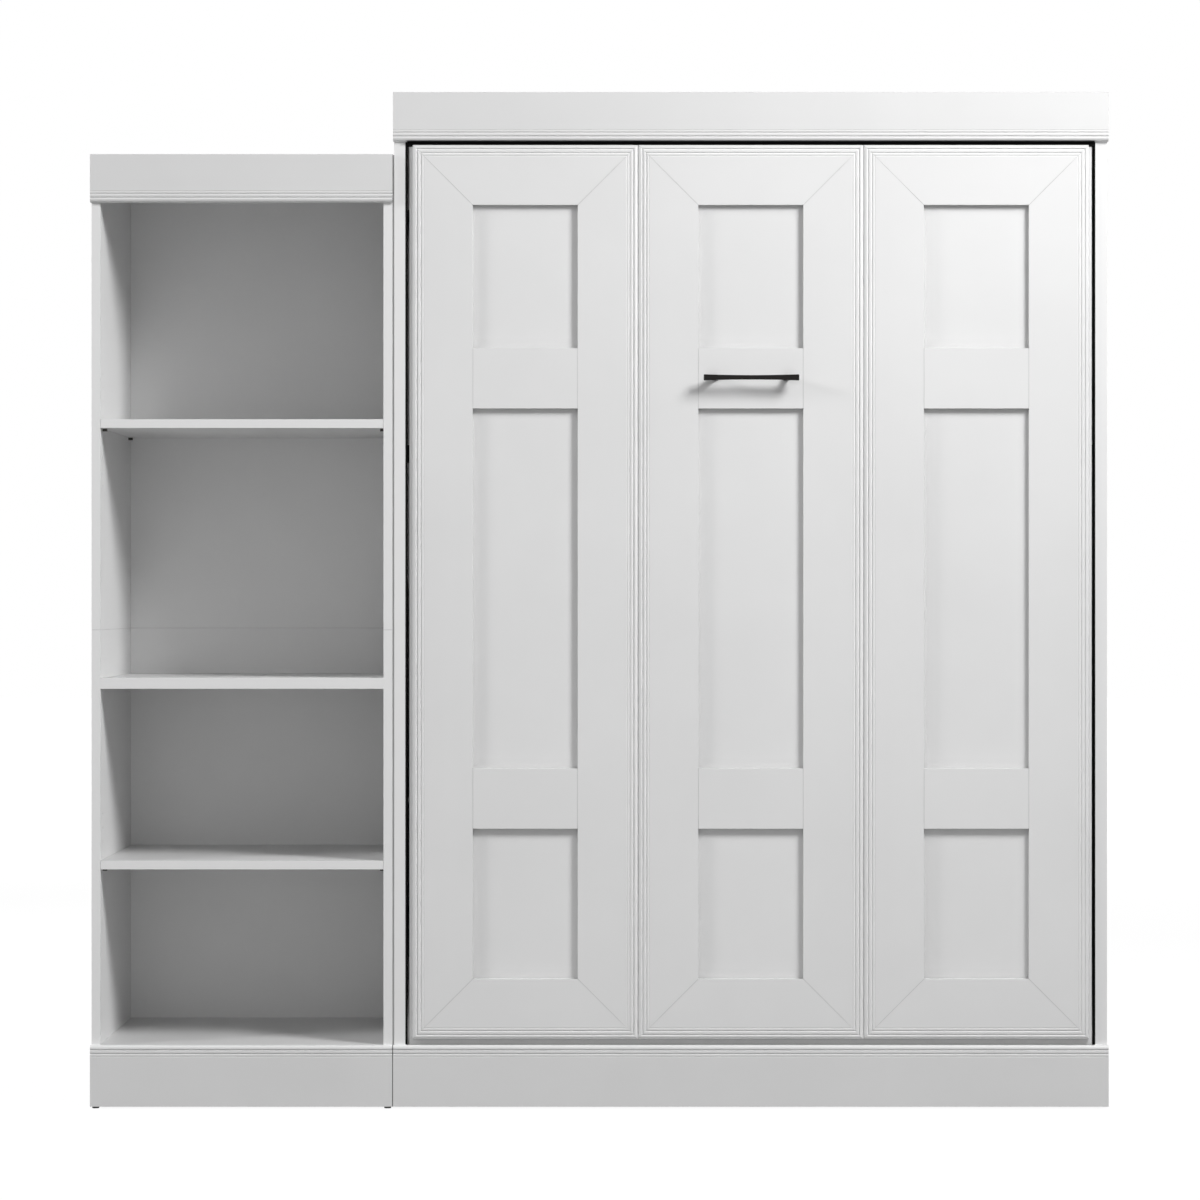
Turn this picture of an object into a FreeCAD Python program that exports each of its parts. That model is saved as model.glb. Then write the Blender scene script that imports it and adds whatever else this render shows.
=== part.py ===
import FreeCAD, Part
import math
import os

# Wall bed with a bookcase beside it.
# Millimetres, +Z up. X runs along the wall, the doors face -Y, the wall is at +Y.
# Design coordinates have Y = 0 on the front of the crown and kick boards.
# Every piece is moved to the middle of the overall depth when it is written.

os.makedirs("parts", exist_ok=True)
V = FreeCAD.Vector

# Both cabinets
carcass_depth = 486.0
board_thickness = 18.0
trim_thickness = 12.0
board_overhang = 2.0
board_joint = 0.6
kick_height = 140.0
glide_height = 4.0
seam_gap = 0.2
overrun = 5.0

# Mattress, which sets the width and height of the bed cabinet
mattress_width = 1520.0
mattress_length = 2030.0
mattress_thickness = 220.0
mattress_side_room = 29.0
mattress_foot_height = 150.0
mattress_head_room = 146.0
mattress_corner = 60.0
mattress_edge = 14.0
soft_gap = 0.3

# Bed cabinet
side_thickness = 28.0
crown_height = 112.0
wall_rail_height = 140.0
headboard_bottom = 300.0
headboard_top = 1200.0
stretcher_height = 90.0

# Bookcase
bookcase_outer_width = 689.0
bookcase_drop = 142.0
bookcase_crown_height = 110.0
bookcase_side_thickness = 20.0
bookcase_back_thickness = 12.0
shelf_thickness = 20.0
fixed_shelf_thickness = 25.0
upper_shelf_top = 1578.0
fixed_shelf_drop = 110.0
lower_shelf_top = 566.0
side_seam_height = 1095.0
shelf_play = 0.5

# Moulded edge of the crown, the kick and the door frames
nose_width = 7.6
nose_depth = 7.0
groove_places = (10.4, 19.2, 25.5)
groove_widths = (4.8, 4.0, 2.2)
groove_depths = (2.1, 1.5, 0.5)

# Three framed doors on one panel, the underside of the bed
door_count = 3
door_setback = 1.0
frame_thickness = 12.0
stile_width = 138.0
upper_recess_height = 328.0
lower_recess_height = 344.0
top_reveal = 8.0
bottom_reveal = 14.0
panel_thickness = 22.0
panel_side_gap = 7.0
panel_margin = 7.4
panel_top_drop = 4.0
panel_tuck = 8.0

# Bed frame behind the panel
rail_depth = 60.0
rail_thickness = 25.0
rail_inset = 26.0
rail_end_drop = 6.0
ledge_width = 20.0
slat_thickness = 18.0
slat_width = 70.0
slat_count = 12
beam_thickness = 25.0

# Bed hinge
hinge_setback = 140.0
hinge_pin_radius = 8.0
running_clearance = 0.05
hinge_plate_thickness = 5.0
hinge_plate_half_height = 70.0
hinge_plate_half_width = 38.0
hub_radius = 17.0
hub_gap = 3.0
pin_depth = 15.0
bracket_thickness = 4.0
bracket_margin = 26.0
bracket_foot_reach = 55.0

# Gas springs, given from the hinge axis
gas_anchor_back = 155.0
gas_anchor_up = 285.0
gas_stud_back = 14.0
gas_stud_down = 159.0
gas_inset = 11.0
gas_tube_radius = 9.5
gas_bore_radius = 7.5
gas_eye_radius = 11.0
gas_eye_width = 9.0
gas_neck_length = 24.0
gas_neck_radius = 5.0
gas_end_wall = 4.0
gas_end_play = 2.0
gas_gland_length = 12.0
gas_rod_radius = 4.0
gas_piston_length = 6.0
gas_cup_radius = 9.0
gas_stud_radius = 7.0
gas_bracket_radius = 20.0
gas_bracket_thickness = 3.0
open_pivot_gap = 0.5

# Folding leg frame
leg_pivot_drop = 146.0
leg_pivot_setback = 65.0
leg_arm_thickness = 4.0
leg_arm_width = 30.0
leg_pin_radius = 6.0
leg_collar_radius = 12.0
leg_pin_depth = 18.0
crossbar_radius = 12.5
crossbar_wall = 2.0
crossbar_clearance = 47.7
foot_wall = 3.0
foot_length = 60.0

# Handle
handle_end_margin = 11.5
handle_end_height = 13.7
handle_waist_height = 9.6
handle_bar_depth = 10.0
handle_standoff = 27.0
handle_post_margin = 24.0
handle_foot_margin = 40.0
handle_post_width = 11.0
handle_post_height = 10.0
handle_fillet = 1.5
handle_screw_radius = 2.0
handle_screw_reach = 9.0

# Fasteners and small parts
screw_radius = 2.5
screw_length = 18.0
screw_head_radius = 5.0
screw_head_height = 1.2
plate_screw_rise = 52.0
plate_screw_spread = 22.0
gas_screw_rise = 13.0
dowel_radius = 4.0
dowel_side_depth = 12.0
dowel_panel_depth = 24.0
dowel_edge = 45.0
wall_hole_radius = 4.0
wall_hole_spacing = 406.4
bookcase_wall_hole_drop = 35.0
wall_hole_count = 4
connector_radius = 4.0
connector_head_radius = 7.0
connector_head_height = 1.2
connector_heights = (700.0, 1400.0)
connector_edge = 82.0
glide_radius = 8.0
glide_edge = 9.0
bed_glide_edge = 60.0
pin_hole_radius = 2.5
pin_hole_depth = 10.0
pin_hole_pitch = 32.0
pin_hole_count = 9
pin_edge = 37.0
pin_head_length = 10.0
pin_head_width = 8.0
pin_head_height = 6.0
stop_length = 20.0
stop_depth = 25.0
stop_height = 40.0
stop_centre_height = 1500.0

# Places worked out from the sizes above, along X
opening_half = mattress_width / 2 + mattress_side_room
bed_outer_width = 2 * (opening_half + side_thickness)
unit_gap = 2 * board_overhang + board_joint
overall_width = bookcase_outer_width + bed_outer_width + unit_gap + 2 * board_overhang
bookcase_left = board_overhang - overall_width / 2
bookcase_right = bookcase_left + bookcase_outer_width
bed_left = bookcase_right + unit_gap
bed_middle = bed_left + bed_outer_width / 2
panel_half = opening_half - panel_side_gap
rail_outer = opening_half - rail_inset
rail_inner = rail_outer - rail_thickness
arm_outer = opening_half - (panel_side_gap - leg_arm_thickness) / 2
arm_inner = arm_outer - leg_arm_thickness
gas_middle = opening_half - gas_inset
door_width = 2 * (panel_half - panel_margin) / door_count
recess_width = door_width - 2 * stile_width
shelf_left = bookcase_left + bookcase_side_thickness
shelf_right = bookcase_right - bookcase_side_thickness
bookcase_middle = (bookcase_left + bookcase_right) / 2

# Along Y
carcass_front = trim_thickness
carcass_back = carcass_front + carcass_depth
panel_front = door_setback + frame_thickness
panel_back = panel_front + panel_thickness
rail_back = panel_back + rail_depth
ledge_back = rail_back - slat_thickness
bookcase_back_front = carcass_back - bookcase_back_thickness
handle_front = door_setback - handle_standoff - handle_bar_depth
frame_shift = -(handle_front + carcass_back) / 2

# Along Z
bed_top = mattress_foot_height + mattress_length + mattress_head_room
bookcase_top = bed_top - bookcase_drop
kick_top = glide_height + kick_height
crown_bottom = bed_top - crown_height
frame_bottom = kick_top + bottom_reveal
frame_top = crown_bottom - top_reveal
panel_bottom = kick_top - panel_tuck
panel_top = frame_top - panel_top_drop
rail_top = panel_top - rail_end_drop
leg_pivot_height = rail_top - leg_pivot_drop
top_panel_bottom = bed_top - side_thickness
lower_mid_rail = frame_bottom + stile_width + lower_recess_height
upper_mid_rail = frame_top - stile_width - upper_recess_height - stile_width
handle_height = upper_mid_rail + stile_width / 2
fixed_shelf_top = side_seam_height - fixed_shelf_drop

# The leg reaches past the mattress, and its length sets the height of the hinge and of the open bed
mattress_back = rail_back + soft_gap + mattress_thickness
foot_radius = crossbar_radius + foot_wall
leg_reach = mattress_back + crossbar_clearance + foot_radius - leg_pivot_setback
hinge_height = leg_reach + foot_radius + hinge_setback - leg_pivot_setback

# Gas spring travel, between the shut and the open bed
anchor_y = hinge_setback + gas_anchor_back
anchor_z = hinge_height + gas_anchor_up
stud_y = hinge_setback + gas_stud_back
stud_z = hinge_height - gas_stud_down
shut_reach = V(0, stud_y - anchor_y, stud_z - anchor_z)
open_reach = V(0, gas_stud_down - gas_anchor_back, gas_stud_back - gas_anchor_up)
gas_stroke = shut_reach.Length - open_reach.Length
shut_angle = math.atan2(shut_reach.z, shut_reach.y)
open_angle = math.atan2(open_reach.z, open_reach.y)


def block(x0, x1, y0, y1, z0, z1):
    return Part.makeBox(x1 - x0, y1 - y0, z1 - z0, V(x0, y0, z0))


def round_x(x0, x1, y, z, radius):
    return Part.makeCylinder(radius, x1 - x0, V(x0, y, z), V(1, 0, 0))


def round_y(y0, y1, x, z, radius):
    return Part.makeCylinder(radius, y1 - y0, V(x, y0, z), V(0, 1, 0))


def round_z(z0, z1, x, y, radius):
    return Part.makeCylinder(radius, z1 - z0, V(x, y, z0), V(0, 0, 1))


def joined(shapes):
    return shapes[0].fuse(shapes[1:]).removeSplitter()


def mirrored(shape):
    # The same piece on the other side of the bed.
    return shape.mirror(V(bed_middle, 0, 0), V(1, 0, 0))


def at_bed(x):
    return bed_middle + x


def both_sides(shapes):
    return shapes + [mirrored(shape) for shape in shapes]


def save(name, shapes):
    # One file per node; a group of like pieces stays a group of solids.
    if not isinstance(shapes, list):
        shapes = [shapes]
    solids = []
    for shape in shapes:
        solids.extend(shape.Solids)
    result = solids[0] if len(solids) == 1 else Part.makeCompound(solids)
    result = result.copy()
    result.translate(V(0, frame_shift, 0))
    result.exportStep("parts/" + name + ".step")


def moulded_face(origin, inward, width, thickness):
    # Section of a board whose outer edge has a rounded nose and three fine grooves.
    # The outer edge is at the origin, and the face at the origin's Y.
    def at(u, v):
        return origin + inward * u + V(0, v, 0)

    edges = []
    half = math.sqrt(0.5)
    bend = at(nose_width * (1 - half), nose_depth * (1 - half))
    edges.append(Part.LineSegment(at(0, thickness), at(0, nose_depth)).toShape())
    edges.append(Part.Arc(at(0, nose_depth), bend, at(nose_width, 0)).toShape())
    reached = nose_width
    for place, groove, depth in zip(groove_places, groove_widths, groove_depths):
        start = place - groove / 2
        end = place + groove / 2
        edges.append(Part.LineSegment(at(reached, 0), at(start, 0)).toShape())
        edges.append(Part.Arc(at(start, 0), at(place, depth), at(end, 0)).toShape())
        reached = end
    edges.append(Part.LineSegment(at(reached, 0), at(width, 0)).toShape())
    edges.append(Part.LineSegment(at(width, 0), at(width, thickness)).toShape())
    edges.append(Part.LineSegment(at(width, thickness), at(0, thickness)).toShape())
    return Part.Face(Part.Wire(edges))


def outline_prism(corners, y0, y1):
    # Straight-sided piece from corners in X and Z, run along Y.
    points = [V(x, y0, z) for x, z in corners]
    wire = Part.makePolygon(points + [points[0]])
    return Part.Face(wire).extrude(V(0, y1 - y0, 0))


def side_prism(corners, x0, x1):
    # Straight-sided piece from corners in Y and Z, run along X.
    points = [V(x0, y, z) for y, z in corners]
    wire = Part.makePolygon(points + [points[0]])
    return Part.Face(wire).extrude(V(x1 - x0, 0, 0))


def dowel_x(x_face, outward, y, z):
    # Beech dowel across a joint at x_face; outward is the side panel's direction.
    far = x_face + outward * dowel_side_depth
    near = x_face - outward * dowel_panel_depth
    return round_x(min(far, near), max(far, near), y, z, dowel_radius)


def screw_x(x_face, into, y, z):
    # Flat-headed screw whose head lies on x_face and whose shank runs into the board.
    head_end = x_face - into * screw_head_height
    tip = x_face + into * screw_length
    head = round_x(min(x_face, head_end), max(x_face, head_end), y, z, screw_head_radius)
    shank = round_x(min(x_face, tip), max(x_face, tip), y, z, screw_radius)
    return joined([head, shank])


def cut_all(shape, tools):
    near = [tool for tool in tools if tool.BoundBox.intersect(shape.BoundBox)]
    if not near:
        return shape
    return shape.cut(near)


# Dowels of the bed cabinet, kept first because boards are drilled for them
def bed_cabinet_dowels():
    left = at_bed(-opening_half)
    front_y = carcass_front + dowel_edge
    back_y = carcass_back - dowel_edge
    rail_y = carcass_back - board_thickness / 2
    stretcher_y = carcass_front + board_thickness / 2
    middle_z = glide_height + stretcher_height / 2
    rail_z = top_panel_bottom - wall_rail_height / 2
    top_z = bed_top - side_thickness / 2
    places = [(front_y, top_z), (back_y, top_z), (rail_y, rail_z)]
    places.append((rail_y, headboard_bottom + dowel_edge))
    places.append((rail_y, headboard_top - dowel_edge))
    places.append((rail_y, middle_z))
    places.append((stretcher_y, middle_z))
    return both_sides([dowel_x(left, -1, y, z) for y, z in places])


def bookcase_dowels():
    front_y = carcass_front + dowel_edge
    back_y = bookcase_back_front - dowel_edge
    heights = [bookcase_top - shelf_thickness / 2, kick_top - shelf_thickness / 2]
    heights.append(fixed_shelf_top - fixed_shelf_thickness / 2)
    made = []
    for y in (front_y, back_y):
        for z in heights:
            made.append(dowel_x(shelf_left, -1, y, z))
            made.append(dowel_x(shelf_right, 1, y, z))
        for x in (shelf_left - bookcase_side_thickness / 2, shelf_right + bookcase_side_thickness / 2):
            low = side_seam_height - dowel_panel_depth
            high = side_seam_height + dowel_panel_depth
            made.append(round_z(low, high, x, y, dowel_radius))
    return made


# Bolts that hold the two cabinets together
def connector_bolts():
    head_start = shelf_right - connector_head_height
    bed_face = at_bed(-opening_half)
    made = []
    for y in (carcass_front + connector_edge, carcass_back - connector_edge):
        for z in connector_heights:
            head = round_x(head_start, shelf_right, y, z, connector_head_radius)
            shank = round_x(shelf_right, bed_face, y, z, connector_radius)
            nut = round_x(bed_face, bed_face + connector_head_height, y, z, connector_head_radius)
            made.append(joined([head, shank, nut]))
    return made


# Screws of the hinge plates and gas spring brackets, on the right side
def cabinet_screws_right():
    plate_face = at_bed(opening_half - hinge_plate_thickness)
    gas_face = at_bed(opening_half - gas_bracket_thickness)
    made = []
    for up in (-1, 1):
        for across in (-1, 1):
            y = hinge_setback + across * plate_screw_spread
            made.append(screw_x(plate_face, 1, y, hinge_height + up * plate_screw_rise))
        made.append(screw_x(gas_face, 1, anchor_y, anchor_z + up * gas_screw_rise))
    return made


def hinge_pin_right():
    return round_x(at_bed(rail_outer), at_bed(opening_half + pin_depth), hinge_setback, hinge_height,
                   hinge_pin_radius)


def cabinet_side(is_right, drilled):
    # Full-height side of the bed cabinet, drilled for dowels, screws, pin and bolts.
    board = block(at_bed(opening_half), at_bed(opening_half + side_thickness), carcass_front,
                  carcass_back, glide_height, bed_top)
    if not is_right:
        board = mirrored(board)
    return cut_all(board, drilled)


def crown_board(x0, x1, top, height):
    # Board with its moulding along the lower edge.
    section = moulded_face(V(x0, 0, top - height), V(0, 0, 1), height, trim_thickness)
    return section.extrude(V(x1 - x0, 0, 0))


def kick_board(x0, x1):
    # Board with its moulding along the upper edge.
    section = moulded_face(V(x0, 0, kick_top), V(0, 0, -1), kick_height, trim_thickness)
    return section.extrude(V(x1 - x0, 0, 0))


def wall_rail(drilled):
    # Rail under the top panel, screwed to the wall studs.
    y0 = carcass_back - board_thickness
    z1 = top_panel_bottom
    rail = block(at_bed(-opening_half), at_bed(opening_half), y0, carcass_back, z1 - wall_rail_height, z1)
    holes = []
    for place in range(wall_hole_count):
        x = at_bed((place - (wall_hole_count - 1) / 2) * wall_hole_spacing)
        holes.append(round_y(y0 - overrun, carcass_back + overrun, x, z1 - wall_rail_height / 2,
                             wall_hole_radius))
    return cut_all(rail, holes + drilled)


def hinge_plate(drilled):
    # Steel plate on the side panel that carries the hinge pin.
    low = hinge_height - hinge_plate_half_height
    high = hinge_height + hinge_plate_half_height
    plate = block(at_bed(opening_half - hinge_plate_thickness), at_bed(opening_half),
                  hinge_setback - hinge_plate_half_width, hinge_setback + hinge_plate_half_width, low, high)
    upright = [edge for edge in plate.Edges if abs(edge.tangentAt(edge.FirstParameter).x) > 1 - 1e-6]
    plate = plate.makeFillet(hinge_plate_half_width / 3, upright)
    return cut_all(plate, drilled)


def gas_bracket_right(drilled):
    # Round foot plate on the side panel with the pin of the gas spring's upper eye.
    foot = round_x(at_bed(opening_half - gas_bracket_thickness), at_bed(opening_half), anchor_y, anchor_z,
                   gas_bracket_radius)
    pin_end = gas_middle - gas_eye_width / 2 - open_pivot_gap
    pin = round_x(at_bed(pin_end), at_bed(opening_half), anchor_y, anchor_z, gas_rod_radius)
    return cut_all(joined([foot, pin]), drilled)


def bump_stop_right():
    # Rubber block on the side panel that the shut bed rests against.
    y0 = panel_back + soft_gap
    z0 = stop_centre_height - stop_height / 2
    return block(at_bed(opening_half - stop_length), at_bed(opening_half), y0, y0 + stop_depth, z0,
                 z0 + stop_height)


def glides():
    made = []
    side_x = opening_half + side_thickness / 2
    for x in (at_bed(-side_x), at_bed(side_x)):
        for y in (carcass_front + bed_glide_edge, carcass_back - bed_glide_edge):
            made.append(round_z(0, glide_height, x, y, glide_radius))
    for x in (bookcase_left + bookcase_side_thickness / 2, bookcase_right - bookcase_side_thickness / 2):
        for y in (glide_edge, carcass_back - bed_glide_edge):
            made.append(round_z(0, glide_height, x, y, glide_radius))
    return made


# Bookcase pieces
def pin_columns():
    return (carcass_front + pin_edge, bookcase_back_front - pin_edge)


def shelf_pin(wall_x, outward, y, shelf_bottom):
    # Spade pin: a round shank in the side and a flat-topped head under the shelf.
    z = shelf_bottom - pin_head_height / 2
    head_end = wall_x - outward * pin_head_length
    tip = wall_x + outward * pin_hole_depth
    head = block(min(wall_x, head_end), max(wall_x, head_end), y - pin_head_width / 2,
                 y + pin_head_width / 2, shelf_bottom - pin_head_height, shelf_bottom)
    shank = round_x(min(wall_x, tip), max(wall_x, tip), y, z, pin_hole_radius)
    return joined([head, shank])


def shelf_pins():
    made = []
    for bottom in (upper_shelf_top - shelf_thickness, lower_shelf_top - shelf_thickness):
        for y in pin_columns():
            made.append(shelf_pin(shelf_left, -1, y, bottom))
            made.append(shelf_pin(shelf_right, 1, y, bottom))
    return made


def pin_holes(wall_x, outward, shelf_top):
    # Two columns of blind holes, centred on the hole that the shelf now uses.
    middle = shelf_top - shelf_thickness - pin_head_height / 2
    tip = wall_x + outward * pin_hole_depth
    holes = []
    for y in pin_columns():
        for step in range(pin_hole_count):
            z = middle + (step - (pin_hole_count - 1) / 2) * pin_hole_pitch
            holes.append(round_x(min(wall_x, tip), max(wall_x, tip), y, z, pin_hole_radius))
    return holes


def bookcase_side(outer_x, inner_x, is_upper, drilled):
    # Half-height side; the upper one stands on the lower one on two dowels.
    z0 = side_seam_height + seam_gap if is_upper else glide_height
    z1 = bookcase_top if is_upper else side_seam_height
    shelf_top = upper_shelf_top if is_upper else lower_shelf_top
    outward = 1 if outer_x > inner_x else -1
    board = block(min(outer_x, inner_x), max(outer_x, inner_x), carcass_front, carcass_back, z0, z1)
    return cut_all(board, pin_holes(inner_x, outward, shelf_top) + drilled)


def bookcase_back(is_upper):
    z0 = side_seam_height + seam_gap if is_upper else glide_height
    z1 = bookcase_top if is_upper else side_seam_height
    board = block(shelf_left, shelf_right, bookcase_back_front, carcass_back, z0, z1)
    if not is_upper:
        return board
    z = bookcase_top - bookcase_wall_hole_drop
    holes = []
    for half in (-0.5, 0.5):
        x = bookcase_middle + half * wall_hole_spacing
        holes.append(round_y(bookcase_back_front - overrun, carcass_back + overrun, x, z, wall_hole_radius))
    return board.cut(holes)


def bookcase_board(top, thickness, drilled):
    board = block(shelf_left, shelf_right, carcass_front, bookcase_back_front, top - thickness, top)
    return cut_all(board, drilled)


def adjustable_shelf(top):
    return block(shelf_left + shelf_play, shelf_right - shelf_play, carcass_front,
                 bookcase_back_front - shelf_play, top - shelf_thickness, top)


# Door frames
def stile(x0, x1, outer_is_left, z0, z1):
    # Upright of a door, mitred at both ends, moulded along its outer edge.
    start = V(x0, door_setback, z0) if outer_is_left else V(x1, door_setback, z0)
    inward = V(1, 0, 0) if outer_is_left else V(-1, 0, 0)
    bar = moulded_face(start, inward, x1 - x0, frame_thickness).extrude(V(0, 0, z1 - z0))
    outer, inner = (x0, x1) if outer_is_left else (x1, x0)
    width = x1 - x0
    corners = [(outer, z0 + seam_gap), (inner, z0 + width + seam_gap)]
    corners += [(inner, z1 - width - seam_gap), (outer, z1 - seam_gap)]
    return bar.common(outline_prism(corners, door_setback - overrun, panel_front + overrun))


def end_rail(x0, x1, edge_z, into):
    # Top or bottom rail of a door, mitred at both ends, moulded along its outer edge.
    bar = moulded_face(V(x0, door_setback, edge_z), V(0, 0, into), stile_width, frame_thickness)
    bar = bar.extrude(V(x1 - x0, 0, 0))
    inner_z = edge_z + into * stile_width
    corners = [(x0, edge_z), (x1, edge_z), (x1 - stile_width, inner_z), (x0 + stile_width, inner_z)]
    return bar.common(outline_prism(corners, door_setback - overrun, panel_front + overrun))


def mid_rail(x0, x1, z0):
    inner_left = x0 + stile_width + seam_gap
    inner_right = x1 - stile_width - seam_gap
    return block(inner_left, inner_right, door_setback, panel_front, z0, z0 + stile_width)


def door_edges(number):
    x0 = at_bed((number - door_count / 2) * door_width)
    return x0, x0 + door_width


# Handle and its screws
def handle_foot_places():
    reach = recess_width / 2 - handle_foot_margin
    return (at_bed(-reach), at_bed(reach))


def handle_screws():
    made = []
    tip = door_setback - handle_screw_reach
    for x in handle_foot_places():
        shank = round_y(tip, panel_back, x, handle_height, handle_screw_radius)
        head = round_y(panel_back, panel_back + screw_head_height, x, handle_height, screw_head_radius)
        made.append(joined([shank, head]))
    return made


def handle(drilled):
    # Waisted bar on two posts that lean in towards their feet.
    bar_back = handle_front + handle_bar_depth
    half = recess_width / 2
    left = at_bed(handle_end_margin - half)
    right = at_bed(half - handle_end_margin)
    end = handle_end_height / 2
    waist = handle_waist_height / 2

    def at(x, z):
        return V(x, handle_front, handle_height + z)

    edges = [
        Part.LineSegment(at(left, -end), at(left, end)).toShape(),
        Part.Arc(at(left, end), at(bed_middle, waist), at(right, end)).toShape(),
        Part.LineSegment(at(right, end), at(right, -end)).toShape(),
        Part.Arc(at(right, -end), at(bed_middle, -waist), at(left, -end)).toShape(),
    ]
    bar = Part.Face(Part.Wire(edges)).extrude(V(0, handle_bar_depth, 0))
    bar = bar.makeFillet(handle_fillet, bar.Edges)
    posts = []
    for side, foot_x in zip((-1, 1), handle_foot_places()):
        top_x = at_bed(side * (half - handle_post_margin))
        section = []
        for x, y in ((top_x, bar_back - handle_bar_depth / 2), (foot_x, door_setback)):
            w = handle_post_width / 2
            h = handle_post_height / 2
            corners = [V(x - w, y, handle_height - h), V(x + w, y, handle_height - h)]
            corners += [V(x + w, y, handle_height + h), V(x - w, y, handle_height + h)]
            section.append(Part.makePolygon(corners + [corners[0]]))
        posts.append(Part.makeLoft(section, True, True))
    return cut_all(joined([bar] + posts), drilled)


# Bed frame
def leg_pin_right():
    # Shouldered pin in the side rail: collar up to the arm, shank through it.
    collar = round_x(at_bed(rail_outer), at_bed(arm_inner - soft_gap), leg_pivot_setback,
                     leg_pivot_height, leg_collar_radius)
    shank = round_x(at_bed(rail_outer - leg_pin_depth), at_bed(arm_outer), leg_pivot_setback,
                    leg_pivot_height, leg_pin_radius)
    return joined([collar, shank])


def bed_screws_right():
    # Screws of the hinge bracket, in the side rail.
    face = at_bed(rail_outer + bracket_thickness)
    middle_y = (panel_back + rail_back) / 2
    low = stud_z
    high = hinge_height + bracket_margin
    steps = 4
    heights = [low + (high - low) * step / (steps - 1) for step in range(steps)]
    return [screw_x(face, -1, middle_y, z) for z in heights]


def side_rail_right(drilled):
    # Rail with a ledge for the slats.
    outer = block(at_bed(rail_inner), at_bed(rail_outer), panel_back, rail_back, frame_bottom, rail_top)
    ledge = block(at_bed(rail_inner - ledge_width), at_bed(rail_inner), panel_back, ledge_back,
                  frame_bottom + rail_thickness, rail_top - rail_thickness)
    return cut_all(joined([outer, ledge]), drilled)


def cross_rail(z0):
    return block(at_bed(-rail_inner), at_bed(rail_inner), panel_back, rail_back, z0, z0 + rail_thickness)


def centre_beam():
    return block(at_bed(-beam_thickness / 2), at_bed(beam_thickness / 2), panel_back, ledge_back,
                 frame_bottom + rail_thickness, rail_top - rail_thickness)


def slats():
    low = frame_bottom + rail_thickness
    high = rail_top - rail_thickness
    space = (high - low - slat_count * slat_width) / (slat_count + 1)
    made = []
    for place in range(slat_count):
        z0 = low + space + place * (slat_width + space)
        made.append(block(at_bed(-rail_inner), at_bed(rail_inner), ledge_back, rail_back, z0, z0 + slat_width))
    return made


def hinge_bracket_right(drilled):
    # Steel plate on the side rail, with the hinge hub and the gas spring's stud.
    x0 = at_bed(rail_outer)
    x1 = at_bed(rail_outer + bracket_thickness)
    front = panel_back + bracket_thickness
    foot_y = max(stud_y, hinge_setback) + bracket_margin
    low = stud_z - bracket_margin
    high = hinge_height + bracket_margin
    corners = [(front, low - bracket_margin), (rail_back, low - bracket_margin), (foot_y, low)]
    corners += [(foot_y, high), (rail_back, high + bracket_foot_reach), (front, high + bracket_foot_reach)]
    plate = side_prism(corners, x0, x1)
    hub_end = opening_half - hinge_plate_thickness - hub_gap
    hub = round_x(x0, at_bed(hub_end), hinge_setback, hinge_height, hub_radius)
    stud_end = gas_middle - gas_eye_width / 2 - open_pivot_gap
    stud = round_x(x0, at_bed(stud_end), stud_y, stud_z, gas_stud_radius)
    bore = round_x(x0 - overrun, at_bed(opening_half), hinge_setback, hinge_height,
                   hinge_pin_radius + running_clearance)
    return cut_all(joined([plate, hub, stud]).cut(bore), drilled)


def mattress():
    # Sprung mattress with rounded corners and softened edges.
    body = block(at_bed(-mattress_width / 2), at_bed(mattress_width / 2), rail_back + soft_gap, mattress_back,
                 mattress_foot_height, mattress_foot_height + mattress_length)
    upright = [edge for edge in body.Edges if abs(edge.tangentAt(edge.FirstParameter).y) > 1 - 1e-6]
    body = body.makeFillet(mattress_corner, upright)
    across = [edge for edge in body.Edges if edge.BoundBox.YLength < 1e-6]
    return body.makeFillet(mattress_edge, across)


# Leg frame
def leg_arm_right():
    # Flat steel arm that lies back beside the mattress while the bed is shut.
    far = leg_pivot_setback + leg_reach
    x0 = at_bed(arm_inner)
    x1 = at_bed(arm_outer)
    half = leg_arm_width / 2
    bar = block(x0, x1, leg_pivot_setback, far, leg_pivot_height - half, leg_pivot_height + half)
    ends = [round_x(x0, x1, y, leg_pivot_height, half) for y in (leg_pivot_setback, far)]
    bore = round_x(x0 - overrun, x1 + overrun, leg_pivot_setback, leg_pivot_height,
                   leg_pin_radius + running_clearance)
    return joined([bar] + ends).cut(bore)


def crossbar():
    # Steel tube between the arms: it holds the mattress in the shut bed and is the foot of the open one.
    y = leg_pivot_setback + leg_reach
    tube = round_x(at_bed(-arm_inner), at_bed(arm_inner), y, leg_pivot_height, crossbar_radius)
    hollow = round_x(at_bed(-arm_inner), at_bed(arm_inner), y, leg_pivot_height, crossbar_radius - crossbar_wall)
    return tube.cut(hollow)


def rubber_foot_right():
    y = leg_pivot_setback + leg_reach
    outer = round_x(at_bed(arm_inner - foot_length), at_bed(arm_inner), y, leg_pivot_height, foot_radius)
    inner = round_x(at_bed(arm_inner - foot_length), at_bed(arm_inner), y, leg_pivot_height, crossbar_radius)
    return outer.cut(inner)


# Gas springs, modelled along the line from the upper pin to the stud
def gas_point(reach):
    direction = shut_reach / shut_reach.Length
    return V(at_bed(gas_middle), anchor_y, anchor_z) + direction * reach


def gas_round(start, end, radius):
    return Part.makeCylinder(radius, end - start, gas_point(start), shut_reach)


def gas_bore_start():
    return gas_neck_length + gas_end_wall


def gas_gland_start():
    return gas_bore_start() + 2 * gas_end_play + gas_piston_length + gas_stroke


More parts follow.
